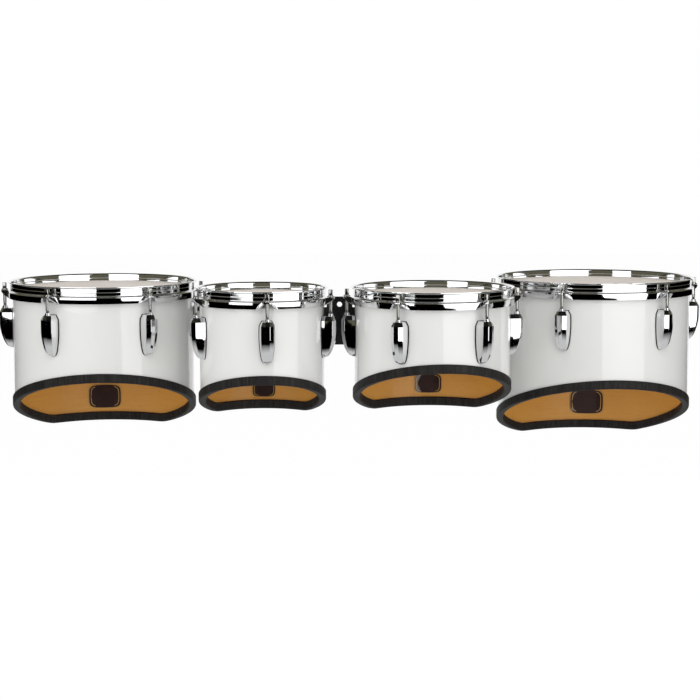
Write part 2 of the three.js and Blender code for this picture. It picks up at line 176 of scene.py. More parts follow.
# Polishing leaves waves about 25 mm long and a few microns deep
waves = add_node(tree, BUMP, {"Height": pattern(tree, 25, detail=1), "Distance": 0.006 * mm})
set_up(shader, {"Base Color": tone, "Roughness": 0.4, "Coat Weight": 1, "Coat Roughness": 0.025,
                "Coat IOR": 1.5, "Coat Normal": waves})
print("made", white_lacquer.name)

# %% [markdown]
# Inside, the maple keeps its own colour under a thin clear coat, warmed to amber. Its grain runs
# round the shell as long faint streaks about a millimetre high, with small darker pores. Noise that
# is stretched along the ground draws them on every side of the shell, with no seam. Real pores are
# too fine to show, so they are drawn seven times as coarse.

# %% Clear-coated maple
maple, tree, shader = new_material("clear_coated_maple")
streaks = pattern(tree, 1.6, (0.02, 0.02, 1), detail=5, roughness=0.6)
cloud = add_node(tree, RANGE, {"Value": pattern(tree, 60, (0.5, 0.5, 1), detail=2), "To Max": 0.45})
mixed = add_node(tree, MATHS, {"operation": "MULTIPLY_ADD", 0: streaks, 1: 0.55, 2: cloud})
tone = add_node(tree, RAMP, {"Fac": mixed, "stops": [(0.2, "#DA9A3B"), (0.5, "#E2A54A"), (0.8, "#EAB158")]})
pores = add_node(tree, RAMP, {
    "Fac": pattern(tree, 0.7, (0.06, 0.06, 1), detail=1), "stops": [(0.62, "#000000"), (0.7, "#FFFFFF")]})
faint = add_node(tree, RANGE, {"Value": pores, "To Max": 0.25})
dark = add_node(tree, MIX, {
    "data_type": "RGBA", "blend_type": "MULTIPLY", 0: faint, 6: tone, 7: linear("#C9A77C")})
relief = add_node(tree, BUMP, {"Height": streaks, "Distance": 0.03 * mm})
set_up(shader, {"Base Color": dark.outputs[2], "Roughness": 0.42, "Coat Weight": 0.15,
                "Coat Roughness": 0.12, "Normal": relief})
print("made", maple.name)

# %% [markdown]
# The channel glued round the bottom edge is extruded rubber. It is a soft, dull black with a very
# fine grain, drawn here at 0.9 mm so that it shows. Bending it round the shell raises fine upright
# wrinkle ridges, and their crests are painted paler, as a painted highlight for the light they catch.

# %% Extruded rubber
rubber, tree, shader = new_material("extruded_black_rubber")
grain = pattern(tree, 0.9, detail=2)
wrinkles_and_highlight = pattern(tree, 2.1, (1, 1, 0.06), detail=1)
# The paler crests are a painted highlight where the wrinkle ridges would catch the light
tone = add_node(tree, RAMP, {"Fac": wrinkles_and_highlight, "stops": [(0.4, "#141312"), (0.7, "#2C2A28")]})
dull = add_node(tree, RANGE, {"Value": grain, "To Min": 0.5, "To Max": 0.68})
both = add_node(tree, MATHS, {"operation": "ADD", 0: grain, 1: wrinkles_and_highlight})
relief = add_node(tree, BUMP, {"Height": both, "Distance": 0.34 * mm})
set_up(shader, {"Base Color": tone, "Roughness": dull, "Specular IOR Level": 0.32, "Normal": relief})
print("made", rubber.name)

# %% [markdown]
# ## The heads' finishes
# A coated head is clear polyester film sprayed with a thin rough layer of warm white. It scatters
# light like paper and has a fine speckle, drawn here at 0.8 mm so that it shows. Plain aluminium
# holds the film's edge, with fine lines round it from rolling.

# %% Coated film and rolled aluminium
film, tree, shader = new_material("coated_polyester_film")
speckle = pattern(tree, 0.8, detail=2)
cloud = pattern(tree, 45, detail=4)
tone = add_node(tree, RAMP, {"Fac": cloud, "stops": [(0.3, "#EADFD5"), (0.7, "#F1E8DF")]})
dull = add_node(tree, RANGE, {"Value": speckle, "To Min": 0.42, "To Max": 0.62})
relief = add_node(tree, BUMP, {"Height": speckle, "Distance": 0.04 * mm})
set_up(shader, {"Base Color": tone, "Roughness": dull, "Specular IOR Level": 0.4, "Subsurface Weight": 0.12,
                "Subsurface Radius": (0.002, 0.0015, 0.001), "Subsurface Scale": 1, "Normal": relief})

aluminium = plain_finish(
    "rolled_aluminium", "#C3C5C7", 1, 0.28, 0.42, size=0.6, stretch=(0.03, 0.03, 1), detail=2)
print("made", film.name, "and", aluminium.name)

# %% [markdown]
# ## The metal finishes
# Counterhoops and lugs are plated with nickel and bright chrome, a slightly blue mirror. It shows
# the faint waves of the polishing wheel, and handling leaves a thin uneven haze, so its roughness
# wanders a little. The rods are turned steel with a nickel plate, greyer and softer than chrome.

# %% Bright chrome and nickel plate
chrome = plain_finish("bright_chrome_plate", "#E6E7E8", 1, 0.02, 0.075, size=18, detail=4)
tree = chrome.node_tree
waves = add_node(tree, BUMP, {"Height": pattern(tree, 14, detail=1), "Distance": 0.012 * mm})
set_up(tree.nodes["Principled BSDF"], {"Normal": waves})
nickel = plain_finish("nickel_plated_steel", "#AEADA9", 1, 0.1, 0.2, size=5)
print("made", chrome.name, "and", nickel.name)

# %% [markdown]
# The frame is aluminium under black powder coat, which melts to a skin of tiny bumps like the peel
# of an orange, drawn twice as coarse as real to show. Screws inside the shells are zinc-plated
# steel, greyer and duller than chrome, and those on the frame are blackened steel.

# %% Powder coat and screw steels
powder_coat, tree, shader = new_material("black_powder_coat")
peel = pattern(tree, 0.9, detail=1)
dull = add_node(tree, RANGE, {"Value": peel, "To Min": 0.42, "To Max": 0.58})
relief = add_node(tree, BUMP, {"Height": peel, "Distance": 0.06 * mm})
set_up(shader, {"Base Color": linear("#141416"), "Roughness": dull, "Normal": relief})

zinc = plain_finish("zinc_plated_steel", "#B9BAB4", 1, 0.22, 0.4, size=4)
black_steel = plain_finish("blackened_steel", "#2A2A2C", 0.8, 0.3, 0.45, size=3)
print("made", powder_coat.name, zinc.name, black_steel.name)

# %% [markdown]
# A small plate sits inside each shell, opposite the audience. Its dark maroon enamel is outlined
# twice in gold paint, which is a plain warm colour and no mirror.

# %% Enamel and gold paint
enamel, tree, shader = new_material("dark_enamel")
cloud = pattern(tree, 9, detail=2)
tone = add_node(tree, RAMP, {"Fac": cloud, "stops": [(0.3, "#2C120E"), (0.7, "#361811")]})
set_up(shader, {"Base Color": tone, "Coat Weight": 1, "Coat Roughness": 0.05, "Roughness": 0.4})
gold = plain_finish("gold_paint", "#CBA35C", 0, 0.4, 0.55, size=5, detail=2)
print("made", enamel.name, gold.name)

# %% [markdown]
# ## Outlines
# Real edges are rounded, and a rounded edge is what catches the light. One function rounds every
# corner of an outline by a radius given for each. It sets one more point close beside each bend, or
# else smooth shading would bend the flat faces too, and a mirror finish would show it.

# %% Round an outline's corners
LONGEST_BEND, BESIDE = 0.47, 0.02  # shares of the side that the bend runs into


def rounded(points, radii, steps=4):
    points = [Vector(point) for point in points]
    line = []
    for i, point in enumerate(points):
        if radii[i] == 0:
            line.append(point)
            continue
        before, after = points[i - 1] - point, points[(i + 1) % len(points)] - point
        start = point + before.normalized() * min(radii[i], LONGEST_BEND * before.length)
        end = point + after.normalized() * min(radii[i], LONGEST_BEND * after.length)
        line.append(start + before * BESIDE)
        for step in range(steps + 1):
            t = step / steps
            line.append(start * (1 - t) ** 2 + point * 2 * t * (1 - t) + end * t ** 2)
        line.append(end + after * BESIDE)
    return line


print("a rounded corner has", len(rounded([(0, 0), (1, 0), (0, 1)], [0.2, 0, 0])) - 2, "points")

# %% [markdown]
# A mesh becomes a piece when it is put in the scene. Then its shading is smoothed, apart from edges
# sharper than the angle crease, it is set on the body that carries it, and the measured solids it
# stands for are hidden.

# %% Pieces
def new_piece(name, mesh, *materials):
    for material in materials:
        mesh.materials.append(material)
    return new_object(name, mesh)


def settle(piece, body, stands_for=(), crease=32):
    piece.data.shade_smooth()
    piece.data.set_sharp_from_angle(angle=radians(crease))
    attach(piece, body)
    if stands_for:
        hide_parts(*stands_for)
    print(f"{piece.name}: {len(piece.data.polygons)} faces on {body}")


# %% [markdown]
# ## Rings that follow the slanted edge
# A shell and its rubber channel both follow the same slanted edge, which no lathe can turn. A node
# tree can make it: it sweeps an outline round a circle, then lifts the outline's bottom to the
# slant. One tree serves both pieces, because only the outline differs. It has named inputs for its
# sizes, works on an empty holder, and its painted result is taken off as a plain mesh.

# %% Shape recipes
def recipe(name, inputs):
    tree = bpy.data.node_groups.new(name, "GeometryNodeTree")
    tree.interface.new_socket("Geometry", in_out="OUTPUT", socket_type="NodeSocketGeometry")
    for label, kind in inputs.items():
        tree.interface.new_socket(label, in_out="INPUT", socket_type="NodeSocket" + kind)
    return tree, tree.nodes.new("NodeGroupInput").outputs, tree.nodes.new("NodeGroupOutput")


def hand_over(shape, material, result):
    tree = shape.id_data
    solid = add_node(tree, "GeometryNodeRealizeInstances", {"Geometry": shape})
    painted = add_node(tree, "GeometryNodeSetMaterial", {"Geometry": solid, "Material": material})
    set_up(result, {0: painted})


def plain_mesh(holder, name):
    mesh = bpy.data.meshes.new_from_object(holder.evaluated_get(bpy.context.evaluated_depsgraph_get()))
    mesh.name = name
    bpy.data.objects.remove(holder)
    return mesh


def from_recipe(tree, name, inputs):
    holder = new_piece(name + "_holder", bpy.data.meshes.new(name + "_holder"))
    modifier = holder.modifiers.new("recipe", "NODES")
    modifier.node_group = tree
    for item in tree.interface.items_tree:
        if item.in_out == "INPUT" and item.name in inputs:
            modifier[item.identifier] = inputs[item.name]
    return plain_mesh(holder, name)


ring_recipe, sizes, result = recipe("ring_with_slanted_edge", {
    "Outline": "Object", "Radius": "Float", "Steps": "Int", "Knee": "Float", "Knee round": "Float",
    "Slant": "Float", "Cut towards": "Float", "Material": "Material"})
tree = ring_recipe
print("a ring's sizes:", [size.name for size in sizes if size.name])

# %% [markdown]
# The outline is swept first. Then every point gets its distance ahead of the knee, along the
# direction of the cut. Behind the knee that is negative, and a square root turns it smoothly to
# nothing, so the knee comes out rounded.

# %% Sweep the outline and measure ahead of the knee
circle = add_node(tree, "GeometryNodeCurvePrimitiveCircle", {
    "Radius": sizes["Radius"], "Resolution": sizes["Steps"]})
outline = add_node(tree, "GeometryNodeObjectInfo", {"Object": sizes["Outline"]})
swept = add_node(tree, "GeometryNodeCurveToMesh", {
    "Curve": circle, "Profile Curve": outline.outputs["Geometry"]})
place = add_node(tree, "ShaderNodeSeparateXYZ", {
    0: add_node(tree, "GeometryNodeInputPosition")}).outputs
south = add_node(tree, MATHS, {"operation": "MULTIPLY", 0: place["Y"], 1: -1})
azimuth = add_node(tree, MATHS, {"operation": "ARCTAN2", 0: place["X"], 1: south})
turn = add_node(tree, MATHS, {"operation": "SUBTRACT", 0: azimuth, 1: sizes["Cut towards"]})
towards = add_node(tree, MATHS, {"operation": "COSINE", 0: turn})
ahead = add_node(tree, MATHS, {"operation": "MULTIPLY_ADD", 0: towards, 1: sizes["Radius"], 2: sizes["Knee"]})
room = add_node(tree, MATHS, {"operation": "MULTIPLY", 0: sizes["Knee round"], 1: sizes["Knee round"]})
squares = add_node(tree, MATHS, {"operation": "MULTIPLY_ADD", 0: ahead, 1: ahead, 2: room})
root = add_node(tree, MATHS, {"operation": "SQRT", 0: squares})
double = add_node(tree, MATHS, {"operation": "ADD", 0: ahead, 1: root})
run = add_node(tree, MATHS, {"operation": "MULTIPLY", 0: double, 1: 0.5})
print("the sweep and the measuring take", len(tree.nodes), "nodes")

# %% [markdown]
# The steepness of the slant turns this run into a rise, and only the outline's lower points, those
# more than 60 mm below the rim, are lifted by it.

# %% Lift the bottom
TOP_ZONE = 60
steepness = add_node(tree, MATHS, {"operation": "TANGENT", 0: sizes["Slant"]})
lift = add_node(tree, MATHS, {"operation": "MULTIPLY", 0: run, 1: steepness})
hangs = add_node(tree, MATHS, {"operation": "LESS_THAN", 0: place["Z"], 1: -TOP_ZONE * mm})
rise = add_node(tree, "ShaderNodeCombineXYZ", {"Z": lift})
bent = add_node(tree, "GeometryNodeSetPosition", {"Geometry": swept, "Selection": hangs, "Offset": rise})
hand_over(bent, sizes["Material"], result)
print("the ring recipe has", len(tree.nodes), "nodes")

# %% [markdown]
# The outline is given as steps outwards from the shell's outer face and downwards from the rim.

# %% Sweep one ring
RING_STEPS = 224


def slanted_ring(name, drum, outline, material):
    curve = bpy.data.curves.new(name + "_outline", "CURVE")
    spline = curve.splines.new("POLY")
    spline.points.add(len(outline) - 1)
    for point, (out, down) in zip(spline.points, outline):
        point.co = (out * mm, down * mm, 0, 1)
    spline.use_cyclic_u = True
    line = new_object(name + "_outline", curve)
    mesh = from_recipe(ring_recipe, name, {
        "Outline": line, "Radius": drum["radius"] * mm, "Steps": RING_STEPS, "Knee": drum["knee"] * mm,
        "Knee round": KNEE_ROUND * mm, "Slant": SLANT, "Cut towards": radians(drum["cut"]),
        "Material": material})
    bpy.data.objects.remove(line)
    mesh.transform(Matrix.Translation(drum["place"]))
    return mesh


print("a ring has", RING_STEPS, "sections")

# %% [markdown]
# ### Shells
# The wall is six millimetres of maple ply. Its top is cut to a bearing edge, where the film turns
# down, and its bottom ends in the rubber channel. White lacquer covers the outside up to the edge,
# and the rest shows maple, so each face takes its finish from where it lies.

# %% Make the shells
WALL, CREST, RUBBER = 6, 13, 3  # the wall, the depth of the bearing edge, the rubber's thickness

for size, drum in DRUMS.items():
    bottom, shoulder = drum["back"] - RUBBER - 0.3, CREST + WALL / 2
    section = rounded([(0, shoulder), (0, bottom), (-WALL, bottom), (-WALL, shoulder), (-WALL / 2, CREST)],
                      [0.8, 0.3, 0.3, 0.8, 0.8], steps=2)
    name = f"maple_shell_{size}"
    shell = new_piece(name, slanted_ring(name, drum, section, white_lacquer), maple)
    axis = drum["place"].xy
    for face in shell.data.polygons:
        face.material_index = int((face.center.xy - axis).length < (drum["radius"] - 0.5) * mm)
    settle(shell, "frame_and_shells", [f"shell_{size}"])

# %% [markdown]
# ### Rubber channels
# The channel is a U in section, pushed over the cut edge and glued. Its legs reach 15 millimetres
# up the wall on both sides, and its outer corners are well rounded.

# %% Make the rubber channels
LEG, FIT = 15, 0.05

for size, drum in DRUMS.items():
    edge = drum["back"]
    top, floor, inside = edge - LEG, edge - RUBBER, -WALL - RUBBER
    section = rounded(
        [(RUBBER, top), (RUBBER, edge), (inside, edge), (inside, top),
         (-WALL - FIT, top), (-WALL - FIT, floor), (FIT, floor), (FIT, top)],
        [1.3, 3.4, 3.4, 1.3, 0.2, 0.3, 0.3, 0.2], steps=5)
    name = f"rubber_channel_{size}"
    channel = new_piece(name, slanted_ring(name, drum, section, rubber))
    settle(channel, "frame_and_shells", crease=60)

# %% [markdown]
# ### Heads
# The film lies flat across the bearing edge, turns down round it, and ends in the aluminium flesh
# hoop. Both are round with straight sides, so turning an outline about the upright axis is enough.
# The outline is a list of radii and heights in millimetres, closed or from axis to axis. Its points
# become rings, and a skin of faces is drawn from each ring to the next.

# %% Skin rings of points and turn an outline
def skin(shape, rings, around=True):
    for ring, after in zip(rings, rings[1:]):
        for i in range(len(ring) if around else len(ring) - 1):
            j = (i + 1) % len(ring)
            corners = list(dict.fromkeys([ring[i], ring[j], after[j], after[i]]))
            if len(corners) > 2:
                shape.faces.new(corners)


def close_ends(shape, *ends):
    for ring in ends:
        shape.faces.new(ring)
    bmesh.ops.recalc_face_normals(shape, faces=shape.faces)
    return shape


def turned(outline, segments):
    shape = bmesh.new()
    angles = [2 * pi * i / segments for i in range(segments)]
    rings = []
    for radius, height in outline:
        if radius == 0:
            rings.append([shape.verts.new((0, 0, height * mm))] * segments)
        else:
            rings.append([shape.verts.new((radius * mm * cos(a), radius * mm * sin(a), height * mm))
                          for a in angles])
    skin(shape, rings if outline[0][0] == 0 else rings + rings[:1])
    return close_ends(shape)


def as_mesh(shape, name, move=Matrix.Identity(4)):
    mesh = bpy.data.meshes.new(name)
    shape.to_mesh(mesh)
    shape.free()
    mesh.transform(move)
    return mesh


def turned_piece(name, drum, outline, material):
    mesh = as_mesh(turned(outline, 192), name, Matrix.Translation(drum["place"]))
    return new_piece(name, mesh, material)


print("a turned disc has", len(turned([(0, 0), (10, 0), (10, 1), (0, 1)], 24).faces), "faces")

# %% Make the films and flesh hoops
FILM, HEAD, SHOULDER, FOOT = 0.4, -12.3, -15.6, -24  # the film's thickness, then heights from the rim

for size, drum in DRUMS.items():
    radius, body = drum["radius"], f"head_and_hoop_{size}"
    inner, outer = radius + 0.3, radius + 0.3 + FILM
    section = rounded(
        [(0, HEAD - FILM), (radius - 3.2, HEAD - FILM), (inner, SHOULDER), (inner, FOOT),
         (outer, FOOT), (outer, SHOULDER), (radius - 3, HEAD), (0, HEAD)],
        [0, 2, 1.4, 0, 0, 1.8, 2.4, 0])
    settle(turned_piece(f"coated_film_{size}", drum, section, film), body, [f"drumhead_{size}"])
    section = rounded(
        [(radius + 0.8, -25.8), (radius + 4.8, -25.8), (radius + 4.8, -17.8), (radius + 0.8, -17.8)],
        [0.8, 1.2, 1.6, 0.8])
    settle(turned_piece(f"flesh_hoop_{size}", drum, section, aluminium), body)

# %% [markdown]
# ### Counterhoops
# A counterhoop is one strip of two-millimetre steel, rolled into a ring and pressed out for the lip,
# out again for the shoulder that bears on the flesh hoop, and down for the skirt. At each rod the
# press pulls the skirt out and up into a roofed ear. The outer skin is laid out as one sheet: its
# outline is worked out afresh at every angle round the drum, so the ears grow out without a seam.

# %% The roof of an ear
SKIRT, TIP = 7.1, 19  # how far out they are from the shell
# The roof is level as far aside from the rod as RIDGE says and falls by FALL to its foot at SPREAD.
# Each is given at the skirt and at the tip
RIDGE, SPREAD, FALL = (8.5, 6.6), (17, 7.5), (11.5, 3.5)


def between(share, start, end):
    return start + (end - start) * share


def soft_above_zero(value, softness):
    return (value + sqrt(value * value + softness * softness)) / 2


def ear_reach(aside):
    """How far out the sheet reaches beyond the shell, at a distance aside from the rod."""
    slope = (TIP - SKIRT) / (SPREAD[0] - SPREAD[1])
    return max(SKIRT, TIP - slope * soft_above_zero(aside - SPREAD[1], 2))


def ear_fall(aside, out):
    """How far the roof lies below the shoulder there."""
    share = (out - SKIRT) / (TIP - SKIRT)
    ridge, foot, fall = (between(share, *ends) for ends in (RIDGE, SPREAD, FALL))
    run = soft_above_zero(aside - ridge, 0.8) / max(foot - ridge, 0.9)
    return min(fall * run, FALL[0])


print("the roof falls", round(ear_fall(17, SKIRT), 1), "mm and reaches", round(ear_reach(0), 1), "mm")

# %% [markdown]
# Each angle gets a column of points from the lip's edge, down the wall, along the shoulder, down
# the skirt and out over the roof. Half way down the wall runs a faint bead that the roller leaves,
# and between the ears the skirt's lower half curls in by half a millimetre. Where there is no roof,
# its points lie together and are merged. Columns stand closest at the ears.

# %% One column of a hoop's outer skin
STEP_OUT = -15.5  # the shoulder's height from the rim
EAR_LINE = 11  # the ears' widths are measured this far out from the shell
SKIRT_ROWS, ROOF_ROWS = 5, 6


def hoop_column(drum, azimuth):
    aside = min(abs((azimuth - rod + 180) % 360 - 180) for rod in drum["azimuths"])
    aside = (drum["radius"] + EAR_LINE) * sin(radians(min(aside, 80)))
    reach, fall = ear_reach(aside), ear_fall(aside, SKIRT)
    curl = 0.6 * (fall / FALL[0]) ** 4
    corners = [(6.6, -1.6), (3.25, -1.8), (3.13, -8.3), (3.26, -8.8), (3.1, -9.3), (3, STEP_OUT),
               (SKIRT, STEP_OUT), (SKIRT, STEP_OUT - 0.55 * fall), (SKIRT - curl, STEP_OUT - fall),
               (reach - curl, STEP_OUT - ear_fall(aside, reach))]
    line = rounded(corners, [0, 1.2, 0.3, 0.3, 0.3, 1.6, 1.8, 2, 2.2, 0], steps=5)
    # The last bend has eight points, and the sheet is laid finer on both sides of it
    upper, bend, tip = line[:-9], line[-9:-1], line[-1]
    lower_skirt = [upper[-1].lerp(bend[0], row / SKIRT_ROWS) for row in range(1, SKIRT_ROWS)]
    roof = [bend[-1].lerp(tip, row / ROOF_ROWS) for row in range(1, ROOF_ROWS)]
    return upper + lower_skirt + bend + roof + [tip]


print("a column has", len(hoop_column(DRUMS["8_inch"], 3)), "points")

# %% Lay out a hoop's outer skin
COLUMN_GAP, EAR_HALF, COLUMNS_BETWEEN = 1.1, 19.8, 12


def hoop_azimuths(drum):
    near = [i * COLUMN_GAP - EAR_HALF for i in range(round(2 * EAR_HALF / COLUMN_GAP) + 1)]
    span = degrees(1 / (drum["radius"] + EAR_LINE))
    angles = []
    for rod, after in zip(drum["azimuths"], drum["azimuths"][1:] + [drum["azimuths"][0] + 360]):
        angles += [rod + offset * span for offset in near]
        start, end = rod + near[-1] * span, after + near[0] * span
        angles += [start + (end - start) * i / COLUMNS_BETWEEN for i in range(1, COLUMNS_BETWEEN)]
    return angles


def hoop_skin(drum):
    shape = bmesh.new()
    columns = []
    for azimuth in hoop_azimuths(drum):
        a = radians(azimuth)
        columns.append([shape.verts.new(((drum["radius"] + p.x) * sin(a) * mm,
                                         -(drum["radius"] + p.x) * cos(a) * mm, p.y * mm))
                        for p in hoop_column(drum, azimuth)])
    skin(shape, columns + columns[:1], around=False)
    bmesh.ops.remove_doubles(shape, verts=shape.verts, dist=1e-6)
    return shape


print("columns round the 8 inch hoop:", len(hoop_azimuths(DRUMS["8_inch"])))

# %% [markdown]
# The sheet then gets its thickness from a Solidify modifier, the rod holes from a Boolean, and its
# cut edges a slight round from a Bevel. The press stretches the wall, so the sheet thins from 2.2 mm
# at the shoulder to 1.5 mm at the lip.

# %% Thicken, pierce and soften the hoops
SHEET, STRETCHED = 2.2, 1.5
THICK_BELOW, THINNING = -14.5, 12  # from this height up, over this many millimetres
ROD_OUT, ROD_HOLE = 13, 3.3  # a rod's distance from the shell, and its hole's radius
DRILL_AT, DRILL_LONG = -18, 12  # the height of the hole's middle, and its length


def outward(azimuth):
    """The level direction away from a drum's axis, at an azimuth in radians."""
    return Vector((sin(azimuth), -cos(azimuth), 0))


def weigh_sheet(hoop):
    """Give each point its share of the full thickness, by its height on the wall."""
    group = hoop.vertex_groups.new(name="thickness")
    for point in hoop.data.vertices:
        up = min(max((point.co.z / mm - THICK_BELOW) / THINNING, 0), 1)
        group.add([point.index], between(up, 1, STRETCHED / SHEET), "REPLACE")


def rod_hole_tools(drum):
    tools = bmesh.new()
    for azimuth in drum["azimuths"]:
        place = outward(radians(azimuth)) * (drum["radius"] + ROD_OUT) * mm + Vector((0, 0, DRILL_AT * mm))
        bmesh.ops.create_cone(tools, cap_ends=True, segments=24, radius1=ROD_HOLE * mm,
                              radius2=ROD_HOLE * mm, depth=DRILL_LONG * mm, matrix=Matrix.Translation(place))
    return tools


def bevel_edges(piece, width, segments, angle):
    edge = piece.modifiers.new("edge", "BEVEL")
    edge.width, edge.segments = width * mm, segments
    edge.limit_method, edge.angle_limit = "ANGLE", radians(angle)


for size, drum in DRUMS.items():
    name = f"pressed_hoop_{size}"
    hoop = new_piece(name, as_mesh(hoop_skin(drum), name), chrome)
    cutter = new_piece("rod_holes", as_mesh(rod_hole_tools(drum), "rod_holes"))
    weigh_sheet(hoop)
    sheet = hoop.modifiers.new("sheet", "SOLIDIFY")
    sheet.thickness, sheet.offset, sheet.use_even_offset = SHEET * mm, -1, True
    sheet.vertex_group = "thickness"
    holes = hoop.modifiers.new("holes", "BOOLEAN")
    holes.operation, holes.solver, holes.object = "DIFFERENCE", "EXACT", cutter
    bevel_edges(hoop, 0.5, 2, 60)
    mesh = plain_mesh(hoop, name)
    mesh.transform(Matrix.Translation(drum["place"]))
    bpy.data.objects.remove(cutter)
    settle(new_piece(name, mesh), f"head_and_hoop_{size}", [f"counterhoop_{size}"], crease=50)

# %% [markdown]
# ## Pieces that repeat round a drum
# Lugs, gaskets and screws repeat at equal angles, so a second tree sets copies of one piece round a
# circle, each turned to face outwards, and ends by realising them, because an export drops instances.

# %% Node tree for pieces round a drum
copy_recipe, sizes, result = recipe("pieces_round_a_drum", {
    "Piece": "Object", "Count": "Int", "First azimuth": "Float", "Radius": "Float", "Material": "Material"})
tree = copy_recipe
step = add_node(tree, MATHS, {"operation": "DIVIDE", 0: 360, 1: sizes["Count"]})
index = add_node(tree, "GeometryNodeInputIndex")
bearing = add_node(tree, MATHS, {"operation": "MULTIPLY_ADD", 0: index, 1: step, 2: sizes["First azimuth"]})
azimuth = add_node(tree, MATHS, {"operation": "RADIANS", 0: bearing})
sine = add_node(tree, MATHS, {"operation": "SINE", 0: azimuth})
cosine = add_node(tree, MATHS, {"operation": "COSINE", 0: azimuth})
east = add_node(tree, MATHS, {"operation": "MULTIPLY", 0: sizes["Radius"], 1: sine})
south = add_node(tree, MATHS, {"operation": "MULTIPLY", 0: sizes["Radius"], 1: cosine})
north = add_node(tree, MATHS, {"operation": "MULTIPLY", 0: south, 1: -1})
spot = add_node(tree, "ShaderNodeCombineXYZ", {"X": east, "Y": north})
points = add_node(tree, "GeometryNodePoints", {"Count": sizes["Count"], "Position": spot})
facing = add_node(tree, "ShaderNodeCombineXYZ", {"Z": azimuth})
original = add_node(tree, "GeometryNodeObjectInfo", {"Object": sizes["Piece"]})
copies = add_node(tree, "GeometryNodeInstanceOnPoints", {
    "Points": points, "Instance": original.outputs["Geometry"], "Rotation": facing})
hand_over(copies, sizes["Material"], result)
print("the copying recipe has", len(tree.nodes), "nodes")

# %% [markdown]
# The copies of one drum are one piece, because they all ride on the fixed body. The shape that is
# copied is drawn as on the audience's side, with the shell's face at its origin.

# %% Set copies round every drum
def set_round_drums(name, shape, height, outside, material, node=None, crease=32):
    one = new_piece("one_of_them", as_mesh(shape, "one_of_them", Matrix.Translation((0, 0, height * mm))))
    for size, drum in DRUMS.items():
        mesh = from_recipe(copy_recipe, f"{name}_{size}", {
            "Piece": one, "Count": drum["rods"], "First azimuth": float(drum["first"]),
            "Radius": (drum["radius"] + outside) * mm, "Material": material})
        mesh.transform(Matrix.Translation(drum["place"]))
        stands_for = [f"{node}_{size}_{i + 1}" for i in range(drum["rods"])] if node else ()
        settle(new_piece(f"{name}_{size}", mesh), "frame_and_shells", stands_for, crease)
    bpy.data.objects.remove(one)


print("rods in all:", sum(drum["rods"] for drum in DRUMS.values()))

# %% [markdown]
# ### Lugs
# A lug is a zinc casting with flat facets, and its section is half an octagon: a low base wall
# against the shell, two broad flanks and a narrow face. Its top is cut back, and its long belly
# curves in to a rounded toe. It is skinned over sections from top to toe, which stand close, so that
# the belly shades smoothly. Their corners are rounded by half a millimetre, which gives each facet
# the fine bright line of a real edge.

# %% A lug's sections
# Half the width of the base, then half the width and the reach of the flank's and the face's corners
LUG_TOP = [7.7, (7.3, 14), (3.3, 18)]
LUG_FULL = [11.9, (10.2, 17.4), (3.6, 21.9)]
LUG_BASE, LUG_HEIGHT, LUG_STRAIGHT, LUG_CHAMFER, LUG_FLARE = 5, 67, 27, 7.3, 16
# The belly's curve is a power of the depth, and its reach and its widths are roots of what is left
BELLY, REACH_ROOT, WIDTH_ROOT, FACE_ROOT = 1.35, 2.6, 3.95, 3
LUG_DEPTHS = [0.5, LUG_CHAMFER, LUG_FLARE, LUG_STRAIGHT] + [
    LUG_HEIGHT - (LUG_HEIGHT - LUG_STRAIGHT) * (1 - i / 26) ** 3 for i in range(1, 24)]


def lug_corners(down):
    """Four corners on one side, as half width and reach from the shell, at a depth below the top."""
    base, (flank, flank_out), (face, face_out) = LUG_FULL
    if down <= LUG_STRAIGHT:
        share = min(1, down / LUG_CHAMFER)
        base = between(min(1, 0.82 * share + 0.18 * down / LUG_FLARE), LUG_TOP[0], base)
        sides = [(between(share, a[0], b[0]), between(share, a[1], b[1]))
                 for a, b in zip(LUG_TOP[1:], LUG_FULL[1:])]
        return [(base, 0), (base, LUG_BASE)] + sides
    left = 1 - ((down - LUG_STRAIGHT) / (LUG_HEIGHT - LUG_STRAIGHT)) ** BELLY
    reach, width, narrow = (left ** (1 / root) for root in (REACH_ROOT, WIDTH_ROOT, FACE_ROOT))
    base *= width
    return [(base, 0), (base, min(LUG_BASE, 0.6 * face_out * reach)),
            (flank * width, flank_out * reach), (face * narrow, face_out * reach)]


print("a lug is skinned over", len(LUG_DEPTHS) + 1, "sections")

# %% [markdown]
# The swivel nut's ferrule stands out of the lug's top, where the rod enters it. The casting is
# seated 0.3 mm off the shell, on its gasket, and its top lies 45.5 mm below the rim.

# %% Skin the lugs and set them
ROUND, SEAT, LUG_PLACE = 0.5, 0.3, -45.5


def lug_ring(corners):
    whole = corners + [(-x, y) for x, y in reversed(corners)]
    radius = min(ROUND, 0.2 * corners[-1][1])
    return rounded(whole, [0] + [radius] * 6 + [0], steps=3)


def lug_shape():
    shape = bmesh.new()
    inset = [(x - ROUND, max(0, y - ROUND)) for x, y in lug_corners(0)]
    rings = []
    for down, corners in [(0, inset)] + [(down, lug_corners(down)) for down in LUG_DEPTHS]:
        rings.append([shape.verts.new((p.x * mm, -p.y * mm, -down * mm)) for p in lug_ring(corners)])
    skin(shape, rings)
    return close_ends(shape, rings[0], rings[-1][::-1])


ferrule = turned(rounded([(2.9, -1), (2.9, 4), (4.2, 4), (4.2, 1.2), (5.2, 1.2), (5.2, -1)],
                         [0, 0.4, 0.8, 0.2, 0.6, 0], steps=3), 64)
lug = lug_shape()
lug.from_mesh(as_mesh(ferrule, "ferrule", Matrix.Translation((0, -(ROD_OUT - SEAT) * mm, 0))))
set_round_drums("cast_lugs", lug, LUG_PLACE, SEAT, chrome, node="lug", crease=9)

